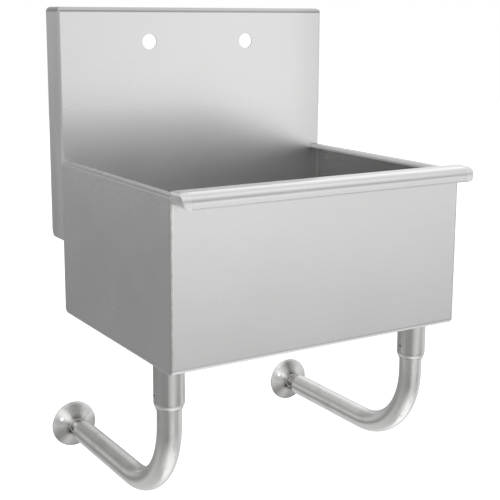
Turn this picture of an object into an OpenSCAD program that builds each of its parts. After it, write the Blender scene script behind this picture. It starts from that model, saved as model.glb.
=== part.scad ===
// Wall-hung mop service sink in brushed stainless sheet.
// X runs to the right, Y runs back to the wall, Z runs up. The wall is the plane Y = 0.
// The origin is the centre of the wall rail's back face, on its line of screw holes.

/* [Backsplash] */
// Width of the sink over its end panels
body_w = 552; // [520:2:760]
// Height of the backsplash's top above the bowl's bottom
splash_h = 541; // [500:1:640]
// Depth of the backsplash's returns, from its face to the wall
splash_d = 55; // [40:1:80]
// How far the side returns run down from the top
return_l = 410; // [330:1:440]
// Outside radius of the backsplash's upright bends
splash_bend_r = 4; // [3:0.5:12]
// Outside radius of the bend along the backsplash's top
splash_top_r = 9; // [3:0.5:12]
// Radius of the ground top corners, seen from the front
splash_corner_r = 9; // [4:0.5:20]
// Radius of the side returns' lower rear corners
return_corner_r = 12; // [4:1:25]
// Height of the lip that hangs on the wall rail
lip_h = 20; // [16:1:30]
// Thickness of the sheet that the sink is folded from
sheet_t = 1.5; // [1:0.1:2.5]

/* [Faucet holes] */
// Distance between the centres of the two faucet holes
faucet_pitch = 203.2; // [100:0.1:260]
// Diameter of the faucet holes
faucet_hole_d = 28.6; // [20:0.1:38]
// Depth of the faucet holes' centres below the backsplash's top
faucet_drop = 61; // [45:1:120]

/* [Bowl] */
// Front face of the bowl to the face of the backsplash
bowl_d = 411; // [330:1:520]
// Height of the side rims above the bowl's bottom
rim_h = 273; // [220:1:330]
// Inside radius of the bends along the bowl's bottom
bowl_bend_r = 7; // [3:0.5:16]
// How far the creased floor falls to the drain
floor_fall = 5; // [2:0.5:10]
// Width of the floor's level edge, before it falls
floor_edge = 4; // [2:0.5:12]
// Depth of the pressed seat round the drain
dish_depth = 3; // [2:0.5:6]
// Radius of the pressed seat round the drain
dish_r = 63; // [60:1:80]

/* [Side rims] */
// Width of the rim flange that turns in over the bowl
rim_w = 20; // [14:1:32]
// Height of the lip that turns down from the rim flange
rim_lip_h = 7; // [5.5:0.5:15]
// Inside radius of the rim's bends
rim_bend_r = 3; // [1:0.5:3.5]

/* [Front roll] */
// How far the roll stands out from the bowl's front face
roll_d = 39; // [26:1:60]
// Height of the roll, from its lower edge to its top
roll_h = 25; // [20:1:50]
// How far the roll's top stands above the side rims
roll_rise = 8; // [4:1:20]
// Outside radius of the bend along the roll's front
roll_front_r = 17; // [8:0.5:17]
// Outside radius of the bend where the front panel turns into the roll
roll_back_r = 5; // [3:0.5:10]
// Inside radius of the hem under the roll's skirt
hem_r = 1; // [0.5:0.5:3]
// Width of the hem under the roll's skirt
hem_w = 7; // [5:0.5:12]
// Width of the pressed caps that close the roll's ends
cap_w = 14; // [12.5:0.5:30]
// Radius of the roll's top corners, seen from the front
cap_top_r = 5; // [2:0.5:8]
// Radius of the roll's lower corners, seen from the front
cap_low_r = 10; // [4:0.5:12]
// Radius of the caps' upright corners, seen from above
cap_edge_r = 3; // [2:0.5:8]

/* [Leg sockets] */
// Outside diameter of the leg sockets
socket_od = 50; // [48:0.5:60]
// Length of the leg sockets below the bowl
socket_l = 76; // [60:1:90]
// Socket axis to the bowl's side
socket_inset_x = 31; // [31:1:70]
// Socket axis to the bowl's front face
socket_inset_y = 70; // [40:1:120]
// Height of the rounded shoulder at the socket's lower end
socket_shoulder_h = 9; // [4:0.5:14]
// Width by which the shoulder draws in
socket_shoulder_w = 3; // [1:0.1:3.2]
// Height of the plain ring at the socket's lower end
socket_ring_h = 2; // [1:0.5:5]
// Depth of the set screws below the bowl's bottom
screw_drop = 52; // [35:1:56]
// Diameter of the set screws
screw_d = 8; // [5:1:10]
// Width across the flats of the set screws' key sockets
screw_key = 4; // [2:0.5:5]
// Gap between the loose set screws and the tubes
screw_gap = 0.4; // [0.2:0.1:1]
// How far the set screws stand out of the sockets
screw_stand = 0.5; // [0:0.1:2]

/* [Bracket tubes] */
// Outside diameter of the bracket tubes
tube_od = 40; // [38:0.5:43]
// Wall thickness of the bracket tubes
tube_wall = 1.5; // [1:0.1:2.5]
// Centreline radius of the tubes' bend
tube_bend_r = 135; // [100:1:140]
// Depth of the tubes' level run below the bowl's bottom
tube_drop = 238; // [236:1:300]
// Gap between the tubes' ends and the wall
tube_gap = 45; // [38:1:70]
// Room above the tubes inside their sockets
tube_top_gap = 20; // [16:1:24]
// Running clearance between tube and socket, on the radius
tube_clear = 0.05; // [0.03:0.01:0.1]

/* [Wall feet] */
// Diameter of the wall flanges
flange_od = 86; // [80:1:110]
// Thickness of the wall flanges' plate
flange_t = 2.5; // [1.5:0.1:3]
// Height of the wall flanges' cone over the plate's edge
flange_cone_h = 13; // [6:0.5:14]
// How much the cone's side is hollowed: 1 is straight
flange_flare = 1.15; // [1:0.05:2.4]
// Diameter of the sliding necks
neck_od = 25; // [20:0.5:28]
// Wall thickness of the sliding necks
neck_wall = 2; // [1.5:0.1:4]
// Length of the sliding necks
neck_l = 92; // [90:1:110]
// Diameter of the flanges' screw holes
flange_hole_d = 7; // [5:0.5:9]
// Diameter of the circle of the flanges' screw holes
flange_pcd = 60; // [54:1:66]
// Angle of the flanges' upper screw hole, from +X
flange_hole_angle = 150; // [120:1:170]
// Length of the plugs in the tubes' ends
plug_l = 30; // [20:1:30]
// How far the plugs sit inside the tubes' ends
plug_recess = 6; // [2:0.5:10]
// Running clearance between neck and plug, on the radius
neck_clear = 0.05; // [0.03:0.01:0.1]

/* [Drain] */
// Radius of the drain's hole in the floor
drain_hole_r = 45; // [44.5:0.5:46]
// Radius of the drain's flange
drain_flange_r = 57; // [54:0.5:58]
// Thickness of the drain's flange
drain_flange_t = 2; // [1.5:0.1:3]
// Radius of the drain flange's upper edge
drain_edge_r = 1.5; // [0.5:0.1:1.5]
// Outside radius of the drain's cup
drain_cup_r = 43.5; // [42.5:0.1:44]
// Depth of the strainer's ledge below the drain's flange
ledge_depth = 3.6; // [2.4:0.1:5]
// Wall thickness of the drain's cup below the strainer's ledge
drain_wall = 4; // [3:0.1:5]
// Height of the drain's cup
drain_cup_h = 26; // [24:1:34]
// Outside radius of the outlet
outlet_r = 24.15; // [20:0.05:26]
// Bore radius of the outlet
outlet_bore_r = 20.5; // [16:0.1:21]
// Length of the outlet below the cup
outlet_l = 26; // [18:1:40]
// Thickness of the sealing ring under the drain's flange
seal_t = 1; // [0.5:0.1:2]
// How far the sealing ring stays inside the flange's edge and outside the hole
seal_inset = 1; // [0.5:0.5:2]
// Thickness of the rubber gasket under the floor
gasket_t = 3; // [2:0.5:5]
// Thickness of the friction washer under the gasket
washer_t = 1; // [0.5:0.1:2]
// How far the gasket reaches past the locknut
gasket_margin = 2; // [0:0.5:4]
// Clearance of the gasket and the washer round the drain's cup
gasket_clear = 0.2; // [0.1:0.1:0.5]
// Clearance of the locknut's thread round the drain's cup
thread_clear = 0.1; // [0.05:0.05:0.3]
// Height of the drain's locknut
locknut_h = 8; // [6:0.5:12]
// Outside radius of the drain's locknut
locknut_r = 52; // [50:0.5:56]
// How far the locknut's lugs stand out
lug_l = 5; // [3:0.5:8]
// Width of the locknut's lugs
lug_w = 8; // [5:0.5:14]
// Number of lugs on the locknut
lug_count = 6; // [4:1:8]

/* [Strainer] */
// Depth of the strainer basket
basket_h = 15; // [10:0.5:17]
// Wall thickness of the strainer basket
basket_t = 1.2; // [0.8:0.1:2]
// Radial clearance round the strainer basket
basket_clear = 0.5; // [0.3:0.1:1]
// Radius of the strainer's holes
strain_hole_r = 2.2; // [1.5:0.1:2.5]
// Number of holes in the strainer's outer ring
strain_holes = 16; // [10:1:20]
// Radius of the outer ring of strainer holes
strain_ring_r = 31; // [26:0.5:33]
// Radius of the inner ring of strainer holes
strain_inner_r = 19; // [14:0.5:22]
// Height of the strainer's knob over the basket's floor
knob_h = 17; // [12:1:22]
// Radius of the strainer's knob
knob_r = 6; // [4:0.5:8]

/* [Wall rail] */
// Gap between each end of the wall rail and the sink's side
rail_inset = 46; // [10:1:48]
// Height of the rail's flat back
rail_h = 22; // [20:1:40]
// Thickness of the rail's plate
rail_t = 2; // [1.5:0.1:2.5]
// Inside radius of the rail's bends
rail_bend_r = 1; // [0.8:0.1:2]
// Height of the rail's hook over its shoulder
rail_hook_h = 11; // [8:1:13]
// Distance between the rail's screw holes
rail_pitch = 406.4; // [300:0.1:407]
// Diameter of the rail's screw holes
rail_hole_d = 7; // [5:0.5:9]

/* [Hidden] */
$fn = 96;

// How far a cutting solid reaches past what it cuts
over = 1;
// Gap between pieces that rest on each other across a joint
seat = 0.2;

half_w = body_w / 2;
front_y = -(splash_d + bowl_d);
inner_front_y = front_y + sheet_t;
roll_face_y = front_y - roll_d;

// Heights: the rail's shoulder carries the lip, the lip carries the backsplash's top,
// and the bowl hangs splash_h below that.
rail_shoulder_r = rail_bend_r + rail_t;
shoulder_rise = sqrt(pow(rail_shoulder_r, 2) - pow(rail_shoulder_r - sheet_t, 2));
splash_top = rail_h / 2 + shoulder_rise + seat + lip_h;
base_z = splash_top - splash_h;
rim_top = base_z + rim_h;
roll_top = rim_top + roll_rise;
roll_low = roll_top - roll_h;
return_low = splash_top - return_l;
rail_l = body_w - 2 * rail_inset;

floor_y = (inner_front_y - splash_d) / 2;
floor_top = base_z + sheet_t;
floor_low = floor_top - floor_fall;
floor_half_d = (bowl_d - sheet_t) / 2 - bowl_bend_r;
dish_z = floor_low - dish_depth;

socket_x = half_w - socket_inset_x;
socket_y = front_y + socket_inset_y;
tube_z = base_z - tube_drop;
tube_r = tube_od / 2;
socket_bore_r = tube_r + tube_clear;
neck_r = neck_od / 2;
plug_bore_r = neck_r + neck_clear;

flange_top = dish_z + seal_t + drain_flange_t;
ledge_z = flange_top - ledge_depth;
cup_low = flange_top - drain_flange_t - drain_cup_h;
cup_bore_r = drain_cup_r - drain_wall;
ledge_r = drain_cup_r - drain_wall / 2;
basket_r = cup_bore_r - basket_clear;
basket_low = ledge_z - basket_h;

steel = [0.78, 0.78, 0.77];
satin = [0.7, 0.7, 0.69];
bright = [0.84, 0.84, 0.84];
zinc = [0.66, 0.68, 0.7];
black = [0.08, 0.08, 0.08];
nylon = [0.3, 0.3, 0.31];
fibre = [0.72, 0.45, 0.25];

// ---- helpers ----

// What is cut off a square corner to round it: the corner is at [0, 0]
module corner_cut(r) {
  difference() {
    translate([-over, -over])
      square([r + over, r + over]);
    translate([r, r])
      circle(r);
  }
}

// A rectangle from p to q with its own radius at each corner:
// lower left, lower right, upper right, upper left
module round_rect(p, q, radii) {
  difference() {
    translate(p)
      square(q - p);
    if (radii[0] > 0)
      translate(p) corner_cut(radii[0]);
    if (radii[1] > 0)
      translate([q[0], p[1]]) rotate(90) corner_cut(radii[1]);
    if (radii[2] > 0)
      translate(q) rotate(180) corner_cut(radii[2]);
    if (radii[3] > 0)
      translate([p[0], q[1]]) rotate(270) corner_cut(radii[3]);
  }
}

// Stands a drawing of X and Z up, from y0 to y1
module along_y(y0, y1) {
  translate([0, y1, 0])
    rotate([90, 0, 0])
      linear_extrude(height = y1 - y0)
        children();
}

// Stands a drawing of Y and Z up, from x0 to x1
module along_x(x0, x1) {
  translate([x0, 0, 0])
    rotate([90, 0, 90])
      linear_extrude(height = x1 - x0)
        children();
}

// Folded sheet, w wide and t thick. Each step is [flat length, turn, inside radius];
// a positive turn is to the left, and the sheet lies to the left of its path.
module folded_sheet(steps, w, t, i = 0) {
  if (i < len(steps)) {
    flat_l = steps[i][0];
    turn = steps[i][1];
    r = steps[i][2];
    if (flat_l > 0)
      cube([flat_l, t, w]);
    translate([flat_l, 0, 0]) {
      if (turn > 0)
        translate([0, r + t, 0]) {
          rotate([0, 0, -90])
            sheet_bend(turn, r, w, t);
          rotate([0, 0, turn])
            translate([0, -r - t, 0])
              folded_sheet(steps, w, t, i + 1);
        }
      if (turn < 0)
        translate([0, -r, 0]) {
          rotate([0, 0, 90 + turn])
            sheet_bend(-turn, r, w, t);
          rotate([0, 0, turn])
            translate([0, r, 0])
              folded_sheet(steps, w, t, i + 1);
        }
    }
  }
}

// One bend of a folded sheet, about the origin
module sheet_bend(turn, r, w, t) {
  rotate_extrude(angle = turn)
    translate([r, 0])
      square([t, w]);
}

// A plain ring about Z, from z0 to z1
module ring(r_out, r_in, z0, z1) {
  translate([0, 0, z0])
    difference() {
      cylinder(r = r_out, h = z1 - z0);
      translate([0, 0, -over])
        cylinder(r = r_in, h = z1 - z0 + 2 * over);
    }
}

// ---- wall rail ----

module wall_rail() {
  color(satin)
    difference() {
      translate([-rail_l / 2, 0, -rail_h / 2])
        rotate([90, 0, 90])
          rotate([0, 0, 90])
            folded_sheet([
              [rail_h, 90, rail_bend_r],
              [0, -90, rail_bend_r],
              [rail_hook_h, 0, 0]
            ], rail_l, rail_t);
      for (side = [-1, 1])
        translate([side * rail_pitch / 2, over, 0])
          rotate([90, 0, 0])
            cylinder(d = rail_hole_d, h = rail_t + 2 * over);
    }
}

// ---- backsplash ----

// The backsplash's outer form, or the hollow behind it when inset by the sheet
module splash_block(inset, low) {
  x = half_w - inset;
  y = -splash_d + inset;
  top = splash_top - inset;
  bend_r = splash_bend_r - inset;
  top_r = splash_top_r - inset;
  lip_r = 2 * sheet_t - inset;
  intersection() {
    union() {
      translate([0, 0, rim_top])
        linear_extrude(height = top - rim_top)
          round_rect([-x, y], [x, -inset], [bend_r, bend_r, 0, 0]);
      translate([-x, y, low])
        cube([2 * x, -inset - y, rim_top - low]);
    }
    along_y(-splash_d, 0)
      round_rect([-x, low], [x, top], [0, 0, splash_corner_r - inset, splash_corner_r - inset]);
    along_x(-x, x)
      round_rect([y, low], [-inset, top], [0, 0, lip_r, top_r]);
  }
}

module backsplash() {
  color(steel)
    difference() {
      splash_block(0, return_low);
      splash_block(sheet_t, return_low - over);
      // the back is open below the lip
      translate([-half_w + sheet_t, -2 * sheet_t, return_low - over])
        cube([body_w - 2 * sheet_t, 3 * sheet_t, splash_top - lip_h - return_low + over]);
      along_x(-half_w - over, half_w + over)
        translate([0, return_low])
          rotate(90)
            corner_cut(return_corner_r);
      for (side = [-1, 1])
        translate([side * faucet_pitch / 2, -splash_d + sheet_t + over, splash_top - faucet_drop])
          rotate([90, 0, 0])
            cylinder(d = faucet_hole_d, h = sheet_t + 2 * over);
    }
}

// ---- bowl ----

// The space over the four pitched planes that fall to the drain, lowered by drop
module over_planes(drop) {
  reach = body_w + bowl_d;
  tilt_x = atan(floor_fall / (half_w - floor_edge));
  tilt_y = atan(floor_fall / (floor_half_d - floor_edge));
  translate([0, floor_y, floor_low - drop])
    intersection_for(tilt = [[tilt_y, 0, 0], [-tilt_y, 0, 0], [0, tilt_x, 0], [0, -tilt_x, 0]])
      rotate(tilt)
        translate([-reach, -reach, 0])
          cube([2 * reach, 2 * reach, reach]);
}

// The space over the whole floor, with its level edge, lowered by drop
module over_floor(drop) {
  reach = body_w + bowl_d;
  over_planes(drop);
  translate([-reach, -reach, floor_top - drop])
    cube([2 * reach, 2 * reach, reach]);
}

// The pressed seat round the drain, still filled on its upper side
module dish(r, low) {
  translate([0, floor_y, low])
    cylinder(r = r, h = floor_top - low);
}

module creased_floor() {
  low_back = -splash_d - bowl_bend_r;
  low_front = inner_front_y + bowl_bend_r;
  low = floor_low - 2 * sheet_t;
  difference() {
    union() {
      intersection() {
        over_floor(sheet_t);
        translate([-half_w, low_front, low])
          cube([body_w, low_back - low_front, floor_top - low]);
      }
      dish(dish_r, dish_z - sheet_t);
    }
    over_planes(0);
    dish(dish_r - sheet_t, dish_z);
    translate([0, floor_y, dish_z - sheet_t - over])
      cylinder(r = drain_hole_r, h = sheet_t + 2 * over);
  }
}

// Back of the bowl and its lower bend, from the backsplash's lower edge
module trough_back() {
  translate([-half_w, -splash_d, return_low])
    rotate([90, 0, 90])
      rotate([0, 0, -90])
        folded_sheet([[return_low - floor_top - bowl_bend_r, -90, bowl_bend_r]], body_w, sheet_t);
}

// Front panel, with its lower bend and the roll over its top
module trough_front() {
  hem_out_r = hem_r + sheet_t;
  translate([-half_w, inner_front_y + bowl_bend_r, floor_top])
    rotate([90, 0, 90])
      rotate([0, 0, 180])
        folded_sheet([
          [0, -90, bowl_bend_r],
          [roll_top - floor_top - bowl_bend_r - roll_back_r, 90, roll_back_r - sheet_t],
          [roll_d + sheet_t - roll_back_r - roll_front_r, 90, roll_front_r - sheet_t],
          [roll_h - roll_front_r - hem_out_r, 90, hem_r],
          [hem_w - hem_out_r, 0, 0]
        ], body_w, sheet_t);
}

module bowl_trough() {
  color(steel) {
    trough_back();
    creased_floor();
    difference() {
      trough_front();
      // the caps close the roll's ends, and the panel's ears follow their corners
      for (side = [-1, 1])
        translate([side * (half_w - cap_w / 2 + over / 2), front_y - roll_d / 2 - over, roll_top - roll_h / 2])
          cube([cap_w + over, roll_d + 2 * over, roll_h + 2 * over], center = true);
      along_y(front_y - over, inner_front_y + over)
        difference() {
          translate([-half_w - over, rim_top])
            square([body_w + 2 * over, roll_rise + over]);
          round_rect([-half_w, rim_top - over], [half_w, roll_top], [0, 0, cap_top_r, cap_top_r]);
        }
    }
  }
}

// A flat end of the bowl with its rim turned in over the bowl; the left one
module end_panel() {
  depth = bowl_d - sheet_t;
  rim_out_r = rim_bend_r + sheet_t;
  color(steel)
    difference() {
      translate([-half_w + sheet_t, -splash_d, floor_top])
        rotate([90, 0, 0])
          rotate([0, 0, 90])
            folded_sheet([
              [rim_h - sheet_t - rim_out_r, -90, rim_bend_r],
              [rim_w - 2 * rim_out_r, -90, rim_bend_r],
              [rim_lip_h - rim_out_r, 0, 0]
            ], depth, sheet_t);
      along_x(-half_w - over, -half_w + sheet_t + over) {
        translate([inner_front_y, floor_top])
          corner_cut(bowl_bend_r);
        translate([-splash_d, floor_top])
          rotate(90)
            corner_cut(bowl_bend_r);
      }
    }
}

module left_end_panel() {
  end_panel();
}

module right_end_panel() {
  mirror([1, 0, 0])
    end_panel();
}

// The roll's end as a solid, or the hollow inside it when inset by the sheet
module cap_block(inset) {
  x0 = -half_w + inset;
  x1 = -half_w + cap_w + (inset > 0 ? over : 0);
  low = roll_low - (inset > 0 ? over : 0);
  top = roll_top - inset;
  y0 = roll_face_y + inset;
  low_r = inset > 0 ? 0 : cap_low_r;
  intersection() {
    along_y(y0, front_y + (inset > 0 ? over : 0))
      round_rect([x0, low], [x1, top], [low_r, 0, 0, cap_top_r - inset]);
    along_x(x0, x1)
      round_rect([y0, low], [inner_front_y, top], [0, 0, roll_back_r - inset, roll_front_r - inset]);
    translate([0, 0, low])
      linear_extrude(height = top - low)
        round_rect([x0, y0], [x1, inner_front_y], [cap_edge_r - inset, 0, 0, 0]);
  }
}

// A pressed cap over the roll's left end
module roll_cap() {
  color(steel)
    difference() {
      cap_block(0);
      cap_block(sheet_t);
    }
}

module left_roll_cap() {
  roll_cap();
}

module right_roll_cap() {
  mirror([1, 0, 0])
    roll_cap();
}

// ---- leg sockets ----

// Puts its children at a socket's axis, at the bowl's bottom: side is -1 or 1
module at_socket(side) {
  translate([side * socket_x, socket_y, base_z])
    children();
}

module leg_socket(side) {
  r = socket_od / 2;
  shoulder_r = r - socket_shoulder_w;
  shoulder_z = -socket_l + socket_ring_h;
  round_r = (pow(socket_shoulder_w, 2) + pow(socket_shoulder_h, 2)) / (2 * socket_shoulder_w);
  color(satin)
    difference() {
      at_socket(side) {
        rotate_extrude()
          difference() {
            translate([socket_bore_r, -socket_l])
              square([r - socket_bore_r, socket_l]);
            translate([shoulder_r, -socket_l - over])
              square([socket_shoulder_w + over, socket_ring_h + over]);
            // the shoulder is the arc that is upright at its top
            difference() {
              translate([shoulder_r, shoulder_z - over])
                square([socket_shoulder_w + over, socket_shoulder_h + over]);
              translate([r - round_r, shoulder_z + socket_shoulder_h])
                circle(r = round_r, $fn = 192);
            }
          }
      }
      // the top is cut to the creased floor's underside
      over_floor(sheet_t);
      at_socket(side)
        translate([0, 0, -screw_drop])
          rotate([0, -90, 0])
            cylinder(d = screw_d + 2 * thread_clear, h = r + over);
    }
}

module left_leg_socket() {
  leg_socket(-1);
}

module right_leg_socket() {
  leg_socket(1);
}

// One set screw in each socket, both facing the sink's left
module socket_set_screws() {
  r = socket_od / 2;
  screw_end = tube_r + screw_gap;
  screw_l = r + screw_stand - screw_end;
  color(zinc)
    for (side = [-1, 1])
      at_socket(side)
        translate([-screw_end, 0, -screw_drop])
          rotate([0, -90, 0])
            difference() {
              cylinder(d = screw_d, h = screw_l);
              translate([0, 0, screw_l / 3])
                cylinder(d = screw_key / cos(30), h = screw_l, $fn = 6);
            }
}

// ---- bracket tubes ----

// The path of a bracket tube, filled to radius r: down out of the socket, round the
// bend and back to the wall; the ends run on by ext
module bracket_path(side, r, ext) {
  at_socket(side) {
    translate([0, 0, -tube_drop + tube_bend_r])
      cylinder(r = r, h = tube_drop - tube_bend_r - tube_top_gap + ext);
    translate([0, tube_bend_r, -tube_drop + tube_bend_r])
      rotate([0, 90, 0])
        rotate([0, 0, -90])
          rotate_extrude(angle = 90)
            translate([tube_bend_r, 0])
              circle(r = r);
    translate([0, tube_bend_r, -tube_drop])
      rotate([-90, 0, 0])
        cylinder(r = r, h = -socket_y - tube_bend_r - tube_gap + ext);
  }
}

module bracket_tube(side) {
  color(satin)
    difference() {
      bracket_path(side, tube_r, 0);
      bracket_path(side, tube_r - tube_wall, over);
    }
}

module left_bracket_tube() {
  bracket_tube(-1);
}

module right_bracket_tube() {
  bracket_tube(1);
}

// Puts its children on a tube's level axis at the wall, with Z pointing away from it
module at_wall_end(side) {
  translate([side * socket_x, 0, tube_z])
    rotate([90, 0, 0])
      children();
}

module tube_plug(side) {
  color(nylon)
    at_wall_end(side)
      ring(tube_r - tube_wall, plug_bore_r, tube_gap + plug_recess, tube_gap + plug_recess + plug_l);
}

module left_tube_plug() {
  tube_plug(-1);
}

module right_tube_plug() {
  tube_plug(1);
}

// ---- wall feet ----

module flange_neck(side) {
  color(satin)
    at_wall_end(side)
      ring(neck_r, neck_r - neck_wall, flange_t, neck_l);
}

module left_flange_neck() {
  flange_neck(-1);
}

module right_flange_neck() {
  flange_neck(1);
}

// Height of the flange's face over its flat edge, at radius r
function flare(r) = flange_cone_h * pow((flange_od / 2 - r) / (flange_od / 2 - neck_r), flange_flare);

module wall_flange(side) {
  steps = 14;
  edge_r = flange_od / 2;
  radii = [for (k = [0:steps]) neck_r + (edge_r - neck_r) * pow(k / steps, 1.5)];
  face = [for (r = radii) [r, flange_t + flare(r)]];
  hollow = [for (k = [steps:-1:0]) [radii[k], flare(radii[k])]];
  color(bright)
    at_wall_end(side)
      difference() {
        rotate_extrude()
          polygon(concat(face, hollow));
        for (turn = [0, 180])
          rotate(turn + flange_hole_angle)
            translate([flange_pcd / 2, 0, -over])
              cylinder(d = flange_hole_d, h = flange_t + flange_cone_h + 2 * over);
      }
}

module left_wall_flange() {
  wall_flange(-1);
}

module right_wall_flange() {
  wall_flange(1);
}

// ---- drain ----

module at_drain() {
  translate([0, floor_y, 0])
    children();
}

module drain_body() {
  color(bright)
    at_drain()
      difference() {
        union() {
          translate([0, 0, flange_top - drain_flange_t])
            cylinder(r = drain_flange_r, h = drain_flange_t);
          translate([0, 0, cup_low])
            cylinder(r = drain_cup_r, h = drain_cup_h + over);
          translate([0, 0, cup_low - outlet_l])
            cylinder(r = outlet_r, h = outlet_l + over);
        }
        translate([0, 0, ledge_z])
          cylinder(r = ledge_r, h = flange_top - ledge_z + over);
        translate([0, 0, cup_low + drain_wall])
          cylinder(r = cup_bore_r, h = drain_cup_h);
        translate([0, 0, cup_low - outlet_l - over])
          cylinder(r = outlet_bore_r, h = outlet_l + drain_wall + 2 * over);
        // the flange's edge is rolled over
        rotate_extrude()
          translate([drain_flange_r, flange_top])
            rotate(180)
              corner_cut(drain_edge_r);
      }
}

module drain_seal() {
  color(black)
    at_drain()
      ring(drain_flange_r - seal_inset, drain_hole_r + seal_inset, dish_z, dish_z + seal_t);
}

module drain_gasket() {
  top = dish_z - sheet_t;
  color(black)
    at_drain()
      ring(locknut_r + gasket_margin, drain_cup_r + gasket_clear, top - gasket_t, top);
}

module drain_washer() {
  top = dish_z - sheet_t - gasket_t;
  color(fibre)
    at_drain()
      ring(locknut_r + gasket_margin / 2, drain_cup_r + gasket_clear, top - washer_t, top);
}

module drain_locknut() {
  top = dish_z - sheet_t - gasket_t - washer_t;
  color(zinc)
    at_drain()
      difference() {
        union() {
          translate([0, 0, top - locknut_h])
            cylinder(r = locknut_r, h = locknut_h);
          for (k = [0:lug_count - 1])
            rotate(k * 360 / lug_count)
              translate([0, -lug_w / 2, top - locknut_h])
                cube([locknut_r + lug_l, lug_w, locknut_h]);
        }
        translate([0, 0, top - locknut_h - over])
          cylinder(r = drain_cup_r + thread_clear, h = locknut_h + 2 * over);
      }
}

// ---- strainer ----

module strainer_basket() {
  inner_holes = round(strain_holes / 2);
  color(bright)
    at_drain()
      difference() {
        union() {
          translate([0, 0, ledge_z])
            cylinder(r = ledge_r - basket_clear, h = basket_t);
          translate([0, 0, basket_low])
            cylinder(r = basket_r, h = basket_h + basket_t);
        }
        translate([0, 0, basket_low + basket_t])
          cylinder(r = basket_r - basket_t, h = basket_h + over);
        for (k = [0:strain_holes - 1])
          rotate(k * 360 / strain_holes)
            translate([strain_ring_r, 0, basket_low - over])
              cylinder(r = strain_hole_r, h = basket_t + 2 * over, $fn = 24);
        for (k = [0:inner_holes - 1])
          rotate(k * 360 / inner_holes)
            translate([strain_inner_r, 0, basket_low - over])
              cylinder(r = strain_hole_r, h = basket_t + 2 * over, $fn = 24);
      }
}

module strainer_knob() {
  foot = basket_low + basket_t;
  neck = knob_r / 2;
  color(bright)
    at_drain()
      translate([0, 0, foot])
        rotate_extrude()
          polygon([
            [0, 0], [knob_r, 0], [neck, knob_r / 2], [neck, knob_h - knob_r],
            [knob_r, knob_h - knob_r / 2], [knob_r * 0.9, knob_h - knob_r / 4],
            [knob_r * 0.6, knob_h], [0, knob_h]
          ]);
}

wall_rail();
backsplash();
bowl_trough();
left_end_panel();
right_end_panel();
left_roll_cap();
right_roll_cap();
left_leg_socket();
right_leg_socket();
socket_set_screws();
left_bracket_tube();
right_bracket_tube();
left_tube_plug();
right_tube_plug();
left_flange_neck();
right_flange_neck();
left_wall_flange();
right_wall_flange();
drain_body();
drain_seal();
drain_gasket();
drain_washer();
drain_locknut();
strainer_basket();
strainer_knob();
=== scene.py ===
import bmesh
import bpy
import math
from mathutils import Matrix, Vector


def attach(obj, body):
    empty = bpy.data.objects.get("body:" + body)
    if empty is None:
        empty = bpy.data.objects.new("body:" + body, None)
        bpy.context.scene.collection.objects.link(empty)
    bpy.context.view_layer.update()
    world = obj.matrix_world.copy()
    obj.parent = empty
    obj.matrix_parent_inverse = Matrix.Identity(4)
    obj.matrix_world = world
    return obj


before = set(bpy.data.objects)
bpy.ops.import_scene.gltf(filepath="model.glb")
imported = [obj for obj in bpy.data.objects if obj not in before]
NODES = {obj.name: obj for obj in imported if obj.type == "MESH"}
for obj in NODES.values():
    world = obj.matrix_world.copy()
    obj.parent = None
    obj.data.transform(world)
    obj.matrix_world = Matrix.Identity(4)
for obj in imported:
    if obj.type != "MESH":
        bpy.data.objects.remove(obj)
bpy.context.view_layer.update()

# Sizes of the object, in metres, as in the CAD source
HALF_W = 0.276          # half the sink's width
SHEET_T = 0.0015        # thickness of the sheet
FRONT_Y = -0.466        # outer face of the front panel
BACK_Y = -0.055         # front face of the backsplash
FLOOR_TOP = -0.5057     # upper face of the bowl's floor at its edges
BOWL_BEND_R = 0.007     # inside radius of the bends along the floor
RIM_TOP = -0.2342       # top of the end panels
RIM_W = 0.020           # width of the rims that turn in over the bowl
ROLL_TOP = -0.2262      # top of the front roll
ROLL_H = 0.025          # height of the front roll
CAP_X = 0.262           # inner edge of the roll's end caps
SOCKET_X = 0.245        # the brackets' distance from the middle
SOCKET_Y = -0.396       # the sockets' axis
SOCKET_R = 0.025        # radius of the sockets
BASE_Z = -0.5072        # underside of the bowl's floor at its edges, over the sockets
TUBE_Z = -0.7452        # axis of the tubes' level runs
BEND_R = 0.135          # centreline radius of the tubes' bend
DRAIN_Y = -0.25975      # the drain's axis
NECK_R = 0.0125         # radius of the flanges' necks
FLANGE_Y = -0.0155      # front end of the flanges' cones
SIDES = (("left", -1), ("right", 1))


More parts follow.
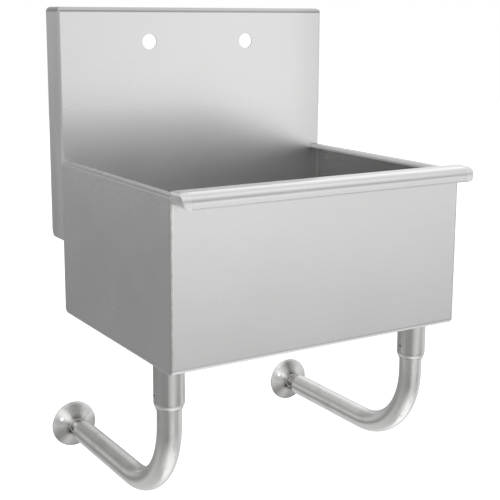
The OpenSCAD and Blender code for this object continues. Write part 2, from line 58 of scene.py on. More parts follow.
# ---------------------------------------------------------------- node helpers
class Tree:
    """A small way to write a node tree as expressions."""

    def __init__(self, tree):
        self.t = tree
        tree.nodes.clear()

    def n(self, kind, _out=0, _props=None, **ins):
        """A new node, with its inputs set by name, or by number as i0, i1 and so on. Gives one of
        its outputs, or the node itself where _out is None."""
        node = self.t.nodes.new(kind)
        for key, value in (_props or {}).items():
            setattr(node, key, value)
        for key, value in ins.items():
            by_number = key[0] == "i" and key[1:].isdigit()
            self.put(node.inputs[int(key[1:]) if by_number else key.replace("_", " ")], value)
        return node.outputs[_out] if _out is not None else node

    def put(self, socket, value):
        if isinstance(value, bpy.types.NodeSocket):
            self.t.links.new(value, socket)
        elif value is not None:
            socket.default_value = value

    def op(self, kind, a, b=None):
        return self.n("ShaderNodeMath", _props={"operation": kind}, i0=a, i1=b)

    def add(self, a, b): return self.op("ADD", a, b)
    def sub(self, a, b): return self.op("SUBTRACT", a, b)
    def mul(self, a, b): return self.op("MULTIPLY", a, b)
    def low(self, a, b): return self.op("MINIMUM", a, b)
    def high(self, a, b): return self.op("MAXIMUM", a, b)
    def abs(self, a): return self.op("ABSOLUTE", a)

    def hyp(self, a, b):
        return self.op("SQRT", self.add(self.mul(a, a), self.mul(b, b)))

    def swing(self, noise, amount, middle=0.5):
        """How far a noise is from its middle, times an amount."""
        return self.mul(self.sub(noise, middle), amount)

    def plus(self, total, *parts):
        """The total with the amount of each mask added."""
        for mask, amount in parts:
            total = self.add(total, self.mul(mask, amount))
        return total

    def step(self, v, a, b, lo=0.0, hi=1.0):
        """Smooth rise from lo to hi while v goes from a to b."""
        return self.n("ShaderNodeMapRange", _props={"interpolation_type": "SMOOTHSTEP"},
                      i0=v, i1=a, i2=b, i3=lo, i4=hi)

    def near(self, v, line, start, full):
        """Rises to 1 while v goes from start to full, both measured from a line of the object."""
        return self.step(v, line + start, line + full)

    def line(self, v, a, b, lo, hi):
        """Even rise from lo to hi while v goes from a to b."""
        return self.n("ShaderNodeMapRange", i0=v, i1=a, i2=b, i3=lo, i4=hi)

    def mix(self, f, a, b):
        return self.n("ShaderNodeMix", _props={"data_type": "FLOAT"}, i0=f, i2=a, i3=b)

    def mixv(self, f, a, b):
        return self.n("ShaderNodeMix", _out=1, _props={"data_type": "VECTOR"}, i0=f, i4=a, i5=b)

    def mixc(self, f, a, b, blend="MIX"):
        return self.n("ShaderNodeMix", _out=2, _props={"data_type": "RGBA", "blend_type": blend},
                      i0=f, i6=a, i7=b)

    def paler(self, colour, amount):
        """The colour with an amount added to each channel."""
        return self.mixc(1.0, colour, self.vec(amount, amount, amount), "ADD")

    def xyz(self, v):
        s = self.n("ShaderNodeSeparateXYZ", _out=None, i0=v)
        return s.outputs[0], s.outputs[1], s.outputs[2]

    def vec(self, x, y, z): return self.n("ShaderNodeCombineXYZ", i0=x, i1=y, i2=z)

    def scaled(self, v, s):
        return self.n("ShaderNodeVectorMath", _props={"operation": "MULTIPLY"}, i0=v, i1=s)

    def noise(self, v, scale=1.0, detail=2.0, rough=0.5, distort=0.0):
        return self.n("ShaderNodeTexNoise", Vector=v, Scale=scale, Detail=detail, Roughness=rough,
                      Distortion=distort)

    def ramp(self, f, stops, interpolation):
        """Grey levels at places from 0 to 1."""
        node = self.n("ShaderNodeValToRGB", _out=None, i0=f)
        r = node.color_ramp
        r.interpolation = interpolation
        while len(r.elements) > 1:
            r.elements.remove(r.elements[-1])
        for i, (place, level) in enumerate(sorted(stops)):
            element = r.elements.new(place) if i else r.elements[0]
            element.position = place
            element.color = (level, level, level, 1)
        return node.outputs[0]


BEVEL_SAMPLES = 6
MACHINED_EDGE = 0.0005  # radius at which turned, drawn and cut edges catch the light


class Mat(Tree):
    """A principled material, with the object's coordinates at hand."""

    def __init__(self, name):
        self.m = bpy.data.materials.new(name)
        self.m.use_nodes = True
        super().__init__(self.m.node_tree)
        self.b = self.n("ShaderNodeBsdfPrincipled", _out=None)
        self.n("ShaderNodeOutputMaterial", _out=None, i0=self.b.outputs[0])
        self.p = self.n("ShaderNodeTexCoord", _out="Object")
        self.x, self.y, self.z = self.xyz(self.p)
        self.ax = self.abs(self.x)

    def normal_parts(self):
        return self.xyz(self.n("ShaderNodeTexCoord", _out="Normal"))

    def set(self, **ins):
        for key, value in ins.items():
            self.put(self.b.inputs[key.replace("_", " ")], value)
        return self.m

    def bump(self, height, distance, strength, edge=0.0, keep=None):
        """Fine relief over edges rounded by a radius. The rounding fades in over keep, from the
        middle of the object outwards."""
        base = None
        if edge:
            base = self.n("ShaderNodeBevel", _props={"samples": BEVEL_SAMPLES}, Radius=edge)
        if keep:
            plain = self.n("ShaderNodeNewGeometry", _out="Normal")
            base = self.mixv(self.step(self.ax, *keep), plain, base)
        return self.n("ShaderNodeBump", Strength=strength, Distance=distance, Height=height,
                      Normal=base)

    def tangent(self, axis):
        return self.n("ShaderNodeTangent", _props={"direction_type": "RADIAL", "axis": axis})


def tint(tone, offsets):
    """A colour near a grey tone."""
    return (*(tone + o for o in offsets), 1)


# ---------------------------------------------------------------- stainless sheet
# Noise cycles per metre, along and across the brushing
STREAK = (2.2, 420.0)
HAIR = (9.0, 2000.0)
# The metal's darker and paler tint
SHEET_TINTS = ((-0.004, -0.009, -0.013), (0.010, 0.006, 0.006))


def brushing(m, side, grain, cycles):
    """Coordinates for noise drawn out along x, along y, or along the sheet round its folds."""
    along, across = cycles
    if grain == "x":
        return m.scaled(m.p, (along, across, across))
    if grain == "y":
        return m.scaled(m.p, (across, along, across))
    return m.mixv(side, brushing(m, side, "x", cycles), brushing(m, side, "y", cycles))


def sheet(name, grain, detail, rough=0.27, tone=0.72, mottle=1.0, edge=0.0006, keep=None):
    """Brushed sheet. grain is x, y, or fold, where it follows the sheet round its upright bends.
    detail adds what is special to the piece to its tone and roughness."""
    m = Mat(name)
    side = m.step(m.abs(m.normal_parts()[0]), 0.6, 0.8)
    streak = m.noise(brushing(m, side, grain, STREAK), detail=3.0, rough=0.6)
    hair = m.noise(brushing(m, side, grain, HAIR), detail=2.0, rough=0.7)
    if grain == "x":
        # the sheet's cut ends show no brushing
        streak, hair = m.mix(side, streak, 0.5), m.mix(side, hair, 0.5)
    cloud = m.noise(m.p, scale=9.0, detail=3.0, rough=0.55)
    blot = m.noise(m.scaled(m.p, (14.0, 14.0, 40.0)), detail=2.0, rough=0.5)
    tonal = m.add(m.swing(streak, 0.030), m.swing(hair, 0.036))
    tonal = m.add(tonal, m.swing(cloud, 0.035 * mottle))
    tonal = m.add(tonal, m.swing(blot, 0.018 * mottle))
    r = m.add(rough, m.swing(streak, 0.03))
    r = m.add(r, m.swing(cloud, 0.03 * mottle))
    tonal, r = detail(m, tonal, r)
    warm = m.mixc(cloud, *(tint(tone, offsets) for offsets in SHEET_TINTS))
    height = m.add(m.mul(streak, 0.35), m.mul(hair, 0.65))
    return m.set(Base_Color=m.paler(warm, tonal), Metallic=1.0, Roughness=r, Anisotropic=0.45,
                 Tangent=m.tangent("Y" if grain == "y" else "X"),
                 Normal=m.bump(height, 0.00002, 0.18, edge=edge, keep=keep))


def trough_detail(m, tonal, r):
    """Ground bands beside the end panels, a rougher inside made paler by painted light, and a
    painted highlight on the roll's upward-facing crown.
    """
    band = m.near(m.ax, HALF_W, -0.0070, -0.0040)
    speck = m.noise(m.p, scale=420.0, detail=3.0, rough=0.6)
    inside = m.near(m.y, FRONT_Y, 0.0004, 0.0012)
    up = m.step(m.normal_parts()[2], 0.75, 0.95)
    crown = m.mul(up, m.near(m.y, FRONT_Y, 0.0, -0.004))
    # painted light: the paler inside, and a painted highlight on the roll's crown
    tonal = m.plus(tonal, (band, m.swing(speck, 0.10, middle=0.42)), (inside, 0.070), (crown, 0.16))
    return tonal, m.plus(r, (band, -0.03), (inside, 0.11))


def splash_detail(m, tonal, r):
    """The backsplash's top bend is rougher than its face, with painted shade on it and a painted
    shading line along its foot. Painted shade darkens the face towards both sides, and painted
    light makes it paler low down, where it is also rougher."""
    up = m.normal_parts()[2]
    bend = m.step(up, 0.05, 0.25)
    bend_foot = m.mul(m.step(up, 0.02, 0.12), m.step(up, 0.50, 0.32))
    low_down = m.step(m.z, -0.130, -0.215)
    left = m.line(m.x, -HALF_W, 0.10, 1.0, 0.0)
    right = m.step(m.x, 0.20, HALF_W)
    # painted shade on the top bend, along its foot and towards both sides; painted light low down
    tonal = m.plus(tonal, (bend, -0.09), (bend_foot, -0.16), (low_down, 0.05), (left, -0.045),
                   (right, -0.07))
    return tonal, m.plus(r, (bend, 0.04), (low_down, 0.07))


def cap_detail(m, tonal, r):
    """The end cap's face: a painted highlight at its crown, and painted light making it paler
    towards its foot, where it is also rougher.
    """
    face = m.step(m.abs(m.normal_parts()[0]), 0.55, 0.85)
    foot = m.near(m.z, ROLL_TOP, -0.40 * ROLL_H, -0.95 * ROLL_H)
    crown = m.mul(face, m.near(m.z, ROLL_TOP, -0.26 * ROLL_H, -0.14 * ROLL_H))
    # painted light: a painted highlight at the crown, and paler towards the foot
    tonal = m.plus(tonal, (foot, 0.22), (crown, 0.26), (face, -0.02))
    return tonal, m.add(r, m.high(m.mul(face, 0.16), m.mul(foot, 0.32)))


def end_detail(m, tonal, r):
    """Ground bands along the joints, the dark crack at the front, grinding marks under the rim,
    painted shade on the rim's top and darker painted shade at its ends, and the rough lip, made
    paler by painted light, that turns down over an inner face darkened by painted shade."""
    nx, _, nz = m.normal_parts()
    front, back = m.near(m.y, FRONT_Y, 0.0085, 0.0055), m.near(m.y, BACK_Y, -0.0085, -0.0055)
    foot = m.near(m.z, FLOOR_TOP, 0.0070, 0.0045)
    band = m.high(m.high(front, back), foot)
    speck = m.noise(m.scaled(m.p, (420.0, 260.0, 420.0)), detail=3.0, rough=0.6)
    crack = m.near(m.y, FRONT_Y, 0.0036, 0.0020)
    crack_depth = m.step(m.z, RIM_TOP - 0.090, RIM_TOP - 0.020, -0.10, -0.34)
    ground = m.mul(m.near(m.z, RIM_TOP, -0.034, -0.018), m.near(m.z, RIM_TOP, -0.003, -0.010))
    swipe = m.noise(m.scaled(m.p, (120.0, 34.0, 210.0)), detail=3.0, rough=0.6, distort=0.8)
    top = m.mul(m.step(nz, 0.5, 0.9), m.near(m.z, RIM_TOP, -0.005, -0.002))
    top_ends = m.high(m.near(m.y, BACK_Y, -0.006, -0.001), m.near(m.y, FRONT_Y, 0.008, 0.002))
    lip = m.mul(m.near(m.ax, HALF_W - RIM_W, 0.004, 0.0025), m.step(m.abs(nx), 0.5, 0.8))
    inner = m.mul(m.near(m.ax, HALF_W, -0.0004, -0.0010), m.sub(1.0, m.high(lip, top)))
    # painted shade on the rim's top, darker at its ends, and on the inner face; painted light on
    # the lip
    tonal = m.plus(tonal, (band, m.swing(speck, 0.11, middle=0.45)), (crack, crack_depth),
                   (ground, m.swing(swipe, 0.20)), (top, -0.07), (m.mul(top, top_ends), -0.30),
                   (lip, 0.16), (inner, -0.17))
    return tonal, m.plus(r, (band, -0.03), (lip, 0.30))


# ---------------------------------------------------------------- turned, drawn and other metals
RING_CYCLES, BROAD_CYCLES = 2600.0, 420.0   # noise cycles per metre across the turned rings
# The metals' darker and paler tints
TURNED_TINTS = ((-0.095, -0.10, -0.108), (0.085, 0.08, 0.072))
TUBE_TINTS = ((-0.135, -0.14, -0.150), (0.125, 0.12, 0.110))
# Painted highlights and painted shade: how much brighter or darker the flanges' sectors are, at
# angles round from straight up, in degrees
SECTORS = ((-180, -0.40), (-150, -0.26), (-125, -0.38), (-98, -0.06), (-75, 0.12), (-50, 0.26),
           (-28, 0.10), (-8, -0.16), (18, -0.06), (50, 0.0), (90, -0.06), (130, -0.24),
           (180, -0.40))


def turned(name, centre, axis, tone, rough, aniso, disc=False):
    """Metal turned or polished round an axis. centre gives the two middle coordinates, for pieces
    on both sides or in the middle. disc adds the painted highlights and painted shade of the
    flanges."""
    m = Mat(name)
    a, b = (m.ax, m.z) if axis == "y" else (m.ax if centre[0] else m.x, m.y)
    da, db = m.sub(a, centre[0]), m.sub(b, centre[1])
    rad = m.hyp(da, db)
    along = m.y if axis == "y" else m.z
    ang = m.op("ARCTAN2", da, db)
    ring = m.noise(m.vec(m.mul(rad, RING_CYCLES), m.mul(along, RING_CYCLES), m.mul(ang, 1.3)),
                   detail=3.0, rough=0.65)
    broad = m.noise(m.vec(m.mul(rad, BROAD_CYCLES), m.mul(along, BROAD_CYCLES), ang), detail=2.0)
    fan = m.noise(m.vec(m.mul(m.op("SINE", ang), 5.0), m.mul(m.op("COSINE", ang), 5.0),
                        m.mul(along, 30.0)), detail=3.0, rough=0.6)
    cloud = m.noise(m.p, scale=70.0, detail=3.0, rough=0.6)
    tonal = m.add(m.swing(ring, 0.07), m.swing(cloud, 0.06))
    r = m.add(rough, m.add(m.swing(broad, 0.08), m.swing(fan, 0.10)))
    base = m.mixc(m.add(0.5, m.mul(tonal, 4.0)), *(tint(tone, o) for o in TURNED_TINTS))
    if disc:
        # painted highlights and painted shade of the flanges' sectors and roots
        base = m.paler(base, flange_painted_light(m, da, db, rad))
    height = m.add(m.mul(ring, 0.6), m.mul(broad, 0.4))
    return m.set(Base_Color=base, Metallic=1.0, Roughness=r, Anisotropic=aniso,
                 Anisotropic_Rotation=0.25, Tangent=m.tangent(axis.upper()),
                 Normal=m.bump(height, 0.00003, 0.5, edge=MACHINED_EDGE))


def flange_painted_light(m, da, db, rad):
    """Painted highlights and painted shade in a polished disc's bright and dark sectors, and
    painted shade on the root round its neck.
    """
    turn = m.line(m.op("ARCTAN2", m.mul(da, m.op("SIGN", m.x)), db), -math.pi, math.pi, 0.0, 1.0)
    # a ramp holds no levels below 0, so they are raised by a half and lowered again
    sector = m.sub(m.ramp(turn, [((a + 180) / 360, v + 0.5) for a, v in SECTORS], "EASE"), 0.5)
    root = m.near(rad, NECK_R, 0.012, 0.001)
    return m.plus(sector, (root, -0.36))


def tube(name, tone, rough):
    """Tube drawn and polished lengthwise, round its bend."""
    m = Mat(name)
    bend_y = m.low(m.sub(m.y, SOCKET_Y + BEND_R), 0.0)
    bend_z = m.low(m.sub(m.z, TUBE_Z + BEND_R), 0.0)
    rho = m.hyp(bend_y, bend_z)
    way = m.sub(m.z, m.y)
    off = m.sub(m.ax, SOCKET_X)

    def drawn(around, along, **kind):
        """Noise with cycles per metre around and along the tube."""
        return m.noise(m.vec(m.mul(off, around), m.mul(rho, around), m.mul(way, along)), **kind)

    long = drawn(520.0, 7.0, detail=3.0, rough=0.6)
    hair = drawn(2600.0, 40.0, detail=2.0, rough=0.7)
    smear = drawn(60.0, 26.0, detail=3.0, rough=0.55, distort=0.6)
    smudge = m.step(smear, 0.52, 0.70)
    tonal = m.plus(m.add(m.swing(long, 0.19), m.swing(hair, 0.06)), (smudge, -0.13))
    base = m.mixc(m.add(0.5, m.mul(tonal, 3.0)), *(tint(tone, o) for o in TUBE_TINTS))
    # painted shade darkens the left tube along its top, and painted light makes the right tube a
    # little paler
    left, right = m.step(m.x, 0.1, -0.1), m.step(m.x, -0.1, 0.1)
    crest = m.mul(m.step(m.normal_parts()[2], 0.40, 0.80), left)
    base = m.paler(base, m.plus(m.mul(right, 0.05), (crest, -0.14)))
    r = m.plus(m.add(rough, m.swing(long, 0.12)), (smudge, 0.08))
    height = m.add(m.mul(long, 0.5), m.add(m.mul(hair, 0.3), m.mul(smear, 0.3)))
    return m.set(Base_Color=base, Metallic=1.0, Roughness=r,
                 Normal=m.bump(height, 0.00004, 0.6, edge=MACHINED_EDGE))


def zinc_sheet(name):
    """Hot-dip spangle."""
    m = Mat(name)
    warp = m.noise(m.p, scale=60.0, detail=2.0)
    shift = m.scaled(m.vec(warp, warp, warp), (0.01, 0.01, 0.01))
    warped = m.n("ShaderNodeVectorMath", _props={"operation": "ADD"}, i0=m.p, i1=shift)
    spangle = m.xyz(m.n("ShaderNodeTexVoronoi", _out="Color", Vector=warped, Scale=95.0))[0]
    fine = m.noise(m.p, scale=1400.0, detail=2.0)
    tonal = m.add(m.mul(spangle, 0.7), m.mul(fine, 0.3))
    base = m.mixc(tonal, (0.50, 0.52, 0.54, 1), (0.70, 0.72, 0.74, 1))
    height = m.add(m.mul(spangle, 0.2), fine)
    return m.set(Base_Color=base, Metallic=1.0, Roughness=m.line(tonal, 0.0, 1.0, 0.34, 0.52),
                 Normal=m.bump(height, 0.00003, 0.5, edge=MACHINED_EDGE))


def cast(name):
    """Die-cast zinc with its fine skin and flow marks."""
    m = Mat(name)
    grain = m.noise(m.p, scale=2200.0, detail=3.0, rough=0.6)
    flow = m.noise(m.scaled(m.p, (60.0, 60.0, 160.0)), detail=3.0, rough=0.6, distort=1.0)
    base = m.mixc(m.add(m.mul(grain, 0.4), m.mul(flow, 0.6)),
                  (0.50, 0.51, 0.53, 1), (0.70, 0.71, 0.73, 1))
    return m.set(Base_Color=base, Metallic=1.0, Roughness=m.line(flow, 0.3, 0.7, 0.36, 0.52),
                 Normal=m.bump(m.add(grain, m.mul(flow, 0.5)), 0.00004, 0.6, edge=0.0006))


def moulded(name, dark, pale, rough, scale):
    """Rubber or plastic with a fine mould skin and pale dust in places."""
    m = Mat(name)
    skin = m.noise(m.p, scale=scale, detail=3.0, rough=0.6)
    dust = m.step(m.noise(m.p, scale=60.0, detail=4.0, rough=0.6), 0.45, 0.75)
    base = m.mixc(m.mul(m.add(m.mul(dust, 0.7), m.mul(skin, 0.3)), 0.6), (*dark, 1), (*pale, 1))
    return m.set(Base_Color=base, Roughness=m.line(skin, 0.3, 0.7, rough - 0.07, rough + 0.07),
                 Normal=m.bump(skin, 0.00005, 0.5, edge=0.0004))


def fibre(name):
    """Pressed fibre with short strands, lying along x or y."""
    m = Mat(name)
    strands = [m.noise(m.scaled(m.p, cycles), detail=3.0, rough=0.7, distort=0.8)
               for cycles in ((1500.0, 260.0, 400.0), (260.0, 1500.0, 400.0))]
    web = m.high(*strands)
    base = m.mixc(m.step(web, 0.40, 0.75), (0.40, 0.22, 0.11, 1), (0.62, 0.40, 0.22, 1))
    return m.set(Base_Color=base, Roughness=0.85, Normal=m.bump(web, 0.00008, 0.6))


def bead_steel(name):
    """The weld beads' clean, slightly tinted metal."""
    m = Mat(name)
    scale = m.noise(m.p, scale=900.0, detail=3.0, rough=0.6)
    heat = m.noise(m.p, scale=90.0, detail=2.0)
    base = m.mixc(heat, (0.58, 0.56, 0.53, 1), (0.72, 0.71, 0.69, 1))
    return m.set(Base_Color=base, Metallic=1.0, Roughness=m.line(scale, 0.3, 0.7, 0.26, 0.42),
                 Normal=m.bump(scale, 0.00005, 0.5))


# The turned pieces' axes, as the two coordinates across them
SOCKET_AXIS, WALL_AXIS, DRAIN_AXIS = (SOCKET_X, SOCKET_Y), (SOCKET_X, TUBE_Z), (0.0, DRAIN_Y)
MATERIALS = {
    "trough": sheet("brushed_trough", "x", trough_detail),
    "splash": sheet("brushed_splash", "fold", splash_detail),
    "end": sheet("brushed_end", "y", end_detail, mottle=1.8),
    # the caps' paler tone is painted light
    "cap": sheet("brushed_cap", "x", cap_detail, rough=0.30, tone=0.76, edge=0.0045,
                 keep=(CAP_X + 0.001, CAP_X + 0.005)),
    "socket": turned("turned_socket", SOCKET_AXIS, "z", tone=0.72, rough=0.15, aniso=0.3),
    "tube": tube("drawn_tube", tone=0.82, rough=0.20),
    # the necks' dark tone is painted shade
    "neck": turned("polished_neck", WALL_AXIS, "y", tone=0.52, rough=0.28, aniso=0.2),
    "flange": turned("polished_flange", WALL_AXIS, "y", tone=0.74, rough=0.17, aniso=0.92,
                     disc=True),
    "drain": turned("polished_drain", DRAIN_AXIS, "z", tone=0.78, rough=0.17, aniso=0.6),
    "screw": turned("screw_steel", (0.0, 0.0), "y", tone=0.62, rough=0.30, aniso=0.0),
    "rail": zinc_sheet("galvanised_rail"),
    "cast": cast("cast_zinc"),
    "rubber": moulded("black_rubber", (0.025, 0.025, 0.026), (0.10, 0.10, 0.10), 0.72, 900.0),
    "seal": moulded("grey_seal", (0.030, 0.030, 0.031), (0.12, 0.12, 0.12), 0.62, 700.0),
    "nylon": moulded("dark_nylon", (0.060, 0.060, 0.064), (0.14, 0.14, 0.145), 0.45, 1500.0),
    "fibre": fibre("pressed_fibre"),
    "bead": bead_steel("weld_bead"),
}

# The CAD nodes' materials: the single pieces, and those with one on each side
SINGLE = {
    "wall_rail": "rail", "backsplash": "splash", "bowl_trough": "trough",
    "socket_set_screws": "screw", "drain_body": "drain", "drain_seal": "seal",
    "drain_gasket": "rubber", "drain_washer": "fibre", "drain_locknut": "cast",
    "strainer_basket": "drain", "strainer_knob": "drain",
}
PAIRED = {
    "end_panel": "end", "roll_cap": "cap", "leg_socket": "socket", "bracket_tube": "tube",
    "tube_plug": "nylon", "flange_neck": "neck", "wall_flange": "flange",
}


def dress(obj, mat):
    obj.data.materials.clear()
    obj.data.materials.append(mat)


for node, key in SINGLE.items():
    dress(NODES[node], MATERIALS[key])
for side, _ in SIDES:
    for node, key in PAIRED.items():
        dress(NODES[f"{side}_{node}"], MATERIALS[key])


# ---------------------------------------------------------------- weld beads and ground seams
BEAD_AROUND, BEAD_SECTION = 240, 10     # points round a ring, and round a bead's own section
BEAD_OUT = 0.0004                       # from a tube's skin out to the middle of its bead
SOCKET_BEAD_R, NECK_BEAD_R = 0.0016, 0.0011
SOCKET_BEAD_DROP = 0.0015               # from the bowl's underside down to the middle of its beads
NECK_BEAD_GAP = 0.0002                  # from a flange's cone to the middle of its bead
FILLET_R = 0.0019                       # radius of the ground seams in the bowl's corners
SEAM_GAP = 0.0004                       # from the rim's underside down to a seam's ends
WALL_STEPS, TURN_STEPS, FLOOR_STEPS = 40, 8, 60     # points along a seam's parts


def link(name, data):
    obj = bpy.data.objects.new(name, data)
    bpy.context.scene.collection.objects.link(obj)
    return obj


def bead(name, verts, faces, body):
    """A smooth stainless piece of weld that rides on a body."""
    mesh = bpy.data.meshes.new(name)
    mesh.from_pydata(verts, [], faces)
    bm = bmesh.new()
    bm.from_mesh(mesh)
    bmesh.ops.recalc_face_normals(bm, faces=bm.faces)
    bm.to_mesh(mesh)
    bm.free()
    mesh.shade_smooth()
    obj = link(name, mesh)
    dress(obj, MATERIALS["bead"])
    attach(obj, body)


def tube_faces(rings, closed):
    """The faces between rings of BEAD_SECTION points each."""
    faces = []
    for i in range(rings if closed else rings - 1):
        here, there = i * BEAD_SECTION, (i + 1) % rings * BEAD_SECTION
        for j in range(BEAD_SECTION):
            k = (j + 1) % BEAD_SECTION
            faces.append((here + j, here + k, there + k, there + j))
    return faces


def bead_ring(name, centre, radius, thick, axis, body, ripples):
    """A rippled weld bead round an axis."""
    verts = []
    for i in range(BEAD_AROUND):
        a = 2 * math.pi * i / BEAD_AROUND
        swell = 1.0 + 0.16 * abs(math.sin(ripples * a / 2)) + 0.05 * math.sin(3 * a + 1.0)
        for j in range(BEAD_SECTION):
            b = 2 * math.pi * j / BEAD_SECTION
            reach = radius + thick * swell * math.cos(b)
            h = thick * swell * math.sin(b)
            u, v = reach * math.cos(a), reach * math.sin(a)
            point = (u, v, h) if axis == "z" else (u, h, v)
            verts.append(tuple(c + p for c, p in zip(centre, point)))
    faces = tube_faces(BEAD_AROUND, closed=True)
    bead(name, verts, faces if axis == "z" else [f[::-1] for f in faces], body)


def seam_path():
    """Places (y, z) down the bowl's back, over its floor and up its front."""
    back, front, floor_z, bend = BACK_Y, FRONT_Y + SHEET_T, FLOOR_TOP, BOWL_BEND_R
    top = RIM_TOP - SHEET_T - SEAM_GAP
    wall = top - floor_z - bend
    width = front - back + 2 * bend
    turn = [math.pi / 2 * i / TURN_STEPS for i in range(TURN_STEPS + 1)]
    path = [(back, top - wall * i / WALL_STEPS) for i in range(WALL_STEPS)]
    path += [(back - bend * (1 - math.cos(a)), floor_z + bend * (1 - math.sin(a))) for a in turn]
    path += [(back - bend + width * i / FLOOR_STEPS, floor_z) for i in range(1, FLOOR_STEPS)]
    path += [(front + bend * (1 - math.sin(a)), floor_z + bend * (1 - math.cos(a))) for a in turn]
    path += [(front, floor_z + bend + wall * i / WALL_STEPS) for i in range(1, WALL_STEPS + 1)]
    return path


def seam_fillet(name, s):
    """The ground seam where an end panel meets the folded trough, uneven as a hand leaves it."""
    x, path, verts = s * (HALF_W - SHEET_T), seam_path(), []
    for i, (y, z) in enumerate(path):
        ya, za = path[max(i - 1, 0)]
        yb, zb = path[min(i + 1, len(path) - 1)]
        run = math.hypot(yb - ya, zb - za)
        ty, tz = (yb - ya) / run, (zb - za) / run
        r = FILLET_R * (1.0 + 0.10 * math.sin(i * 2.1) + 0.06 * math.sin(i * 0.7 + s))
        for j in range(BEAD_SECTION):
            b = 2 * math.pi * j / BEAD_SECTION
            out, off = r * math.cos(b), r * math.sin(b)
            verts.append((x + out, y - tz * off, z + ty * off))
    ends = [tuple(range(BEAD_SECTION))[::-1], tuple(range(len(verts) - BEAD_SECTION, len(verts)))]
    bead(name, verts, tube_faces(len(path), closed=False) + ends, "basin")


for side, s in SIDES:
    bead_ring(side + "_socket_weld", (s * SOCKET_X, SOCKET_Y, BASE_Z - SOCKET_BEAD_DROP),
              SOCKET_R + BEAD_OUT, SOCKET_BEAD_R, "z", "basin", ripples=84)
    bead_ring(side + "_neck_weld", (s * SOCKET_X, FLANGE_Y - NECK_BEAD_GAP, TUBE_Z),
              NECK_R + BEAD_OUT, NECK_BEAD_R, "y", side + "_foot", ripples=60)
for side, s in SIDES:
    seam_fillet(side + "_bowl_seam", s)


# ---------------------------------------------------------------- floor, world, lamps, camera
GROUND_Z = -1.09        # height of the floor
GROUND_HALF = 9.0       # half its width
GROUND_GREY = 0.80
GROUND_GLOW = 0.55      # added for the camera, so that the floor comes out white


def floor():
    """A plain pale floor that keeps the shadow."""
    g = GROUND_HALF
    mesh = bpy.data.meshes.new("floor")
    corners = [(-g, -g), (g, -g), (g, g), (-g, g)]
    mesh.from_pydata([(x, y, GROUND_Z) for x, y in corners], [], [(0, 1, 2, 3)])
    obj = link("floor", mesh)
    mat = bpy.data.materials.new("pale_floor")
    mat.use_nodes = True
    t = Tree(mat.node_tree)
    ray = t.n("ShaderNodeLightPath", _out="Is Camera Ray")
    lit = t.n("ShaderNodeBsdfDiffuse", Color=(GROUND_GREY, GROUND_GREY, GROUND_GREY, 1))
    glow = t.n("ShaderNodeEmission", Color=(1, 1, 1, 1), Strength=t.mul(ray, GROUND_GLOW))
    t.n("ShaderNodeOutputMaterial", _out=None, i0=t.n("ShaderNodeAddShader", i0=lit, i1=glow))
    dress(obj, mat)
    obj.visible_glossy = False


# Light levels of the studio's walls, at heights over the horizon and at angles round from straight
# ahead of the object, in degrees: dim on the left, bright ahead, with a dark band over it.
ROUND = (-180, -145, -105, -65, -38, -22, -8, 8, 28, 50, 80, 120, 150)
QUARTERS = (-180, -90, 0, 90)
STUDIO = [
    (-60, QUARTERS, (0.65, 0.50, 1.05, 1.15)),
    (-35, ROUND, (0.60, 0.61, 0.43, 0.31, 0.25, 0.42, 0.56, 0.67, 0.60, 0.55, 0.64, 0.63, 0.60)),
    (-20, ROUND, (0.35, 0.28, 0.33, 0.29, 0.32, 0.64, 0.78, 0.80, 0.44, 0.36, 0.79, 0.66, 0.51)),
    (-11, ROUND, (0.26, 0.35, 0.47, 0.45, 0.43, 0.41, 0.56, 0.83, 1.22, 0.92, 0.83, 0.64, 0.44)),
    (-3, ROUND, (0.43, 0.57, 0.57, 0.52, 0.44, 0.42, 0.56, 0.95, 1.30, 0.90, 0.78, 0.57, 0.35)),
    (6, ROUND, (0.50, 0.55, 0.65, 0.64, 0.60, 0.71, 0.84, 1.09, 1.20, 0.82, 0.85, 0.90, 0.60)),
    (18, ROUND, (0.35, 0.31, 0.75, 0.95, 1.05, 1.01, 0.83, 0.49, 0.10, 0.41, 0.86, 1.15, 0.85)),
    (35, ROUND, (0.45, 0.53, 1.03, 1.25, 1.32, 1.16, 0.85, 0.35, 0.13, 0.73, 0.89, 1.20, 0.95)),
    (65, QUARTERS, (0.85, 1.20, 1.20, 0.85)),
]


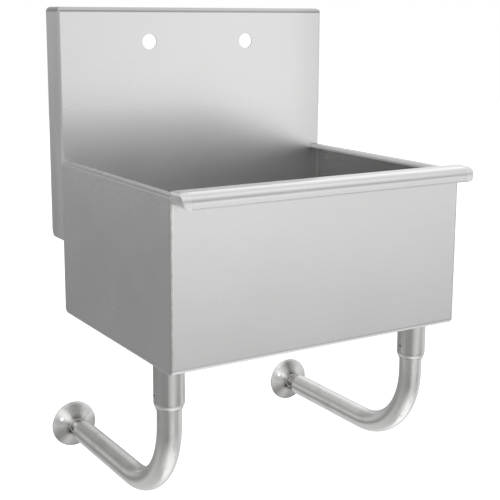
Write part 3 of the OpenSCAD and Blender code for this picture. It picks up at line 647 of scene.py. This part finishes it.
def studio():
    """White to the camera, and a soft graded studio in reflections."""
    world = bpy.data.worlds.new("studio")
    bpy.context.scene.world = world
    world.use_nodes = True
    t = Tree(world.node_tree)
    x, y, z = t.xyz(t.n("ShaderNodeTexCoord", _out="Generated"))
    turn = t.line(t.op("ARCTAN2", x, t.mul(y, -1.0)), -math.pi, math.pi, 0.0, 1.0)
    rise = t.line(t.op("ARCSINE", z), -math.pi / 2, math.pi / 2, 0.0, 1.0)
    sky = None
    for height, angles, levels in STUDIO:
        # each row holds at its own height, and fades out evenly up to the rows next to it
        stops = [((a + 180) / 360, level) for a, level in zip(angles, levels)]
        wall = t.ramp(turn, stops + [(1.0, levels[0])], "LINEAR")
        shares = [((h + 90) / 180, 1.0 if h == height else 0.0) for h, _, _ in STUDIO]
        part = t.mul(wall, t.ramp(rise, shares, "LINEAR"))
        sky = part if sky is None else t.add(sky, part)
    path = t.n("ShaderNodeLightPath", _out=None)
    seen = t.high(path.outputs["Is Camera Ray"], path.outputs["Is Transmission Ray"])
    light = t.n("ShaderNodeBackground", Color=(1, 1, 1, 1), Strength=t.mix(seen, sky, 1.0))
    t.n("ShaderNodeOutputWorld", _out=None, i0=light)


LAMP_AIM = (0.0, -0.2, -0.3)


def lamp(name, at, size, watts):
    """A square area lamp aimed at the object."""
    data = bpy.data.lights.new(name, "AREA")
    data.shape, data.size, data.energy = "SQUARE", size, watts
    obj = link(name, data)
    obj.location = at
    obj.rotation_mode = "QUATERNION"
    obj.rotation_quaternion = (Vector(LAMP_AIM) - Vector(at)).to_track_quat("-Z", "Y")


# The photograph's view, fitted to the object's corners in its 500 x 500 frame
FRAME_PX = 500.0
FOCAL_PX = 1067.86
SENSOR_MM = 36.0
CAMERA_AT = (-0.97628, -1.81257, 0.02686)
CAMERA_YAW, CAMERA_PITCH, CAMERA_ROLL = -31.8108, 10.7792, 0.2795   # degrees, pitch downwards
SHIFT_Y = -0.07


def camera():
    yaw, pitch, roll = (math.radians(a) for a in (CAMERA_YAW, CAMERA_PITCH, CAMERA_ROLL))
    flat = math.cos(pitch)
    ahead = Vector((-math.sin(yaw) * flat, math.cos(yaw) * flat, -math.sin(pitch)))
    level = Vector((math.cos(yaw), math.sin(yaw), 0.0))
    up = level.cross(ahead)
    right = level * math.cos(roll) + up * math.sin(roll)
    above = -level * math.sin(roll) + up * math.cos(roll)
    data = bpy.data.cameras.new("camera")
    data.sensor_width = SENSOR_MM
    data.lens = SENSOR_MM * FOCAL_PX / FRAME_PX
    data.shift_y = SHIFT_Y
    data.clip_start, data.clip_end = 0.05, 60.0
    obj = link("camera", data)
    m = Matrix((right, above, -ahead)).transposed().to_4x4()
    m.translation = Vector(CAMERA_AT)
    obj.matrix_world = m
    bpy.context.scene.camera = obj


floor()
studio()
lamp("key", (1.6, -2.6, 1.9), size=2.2, watts=6.0)
lamp("fill", (-2.4, -1.4, 1.6), size=2.0, watts=3.0)
camera()
bpy.context.scene.view_settings.view_transform = "Standard"
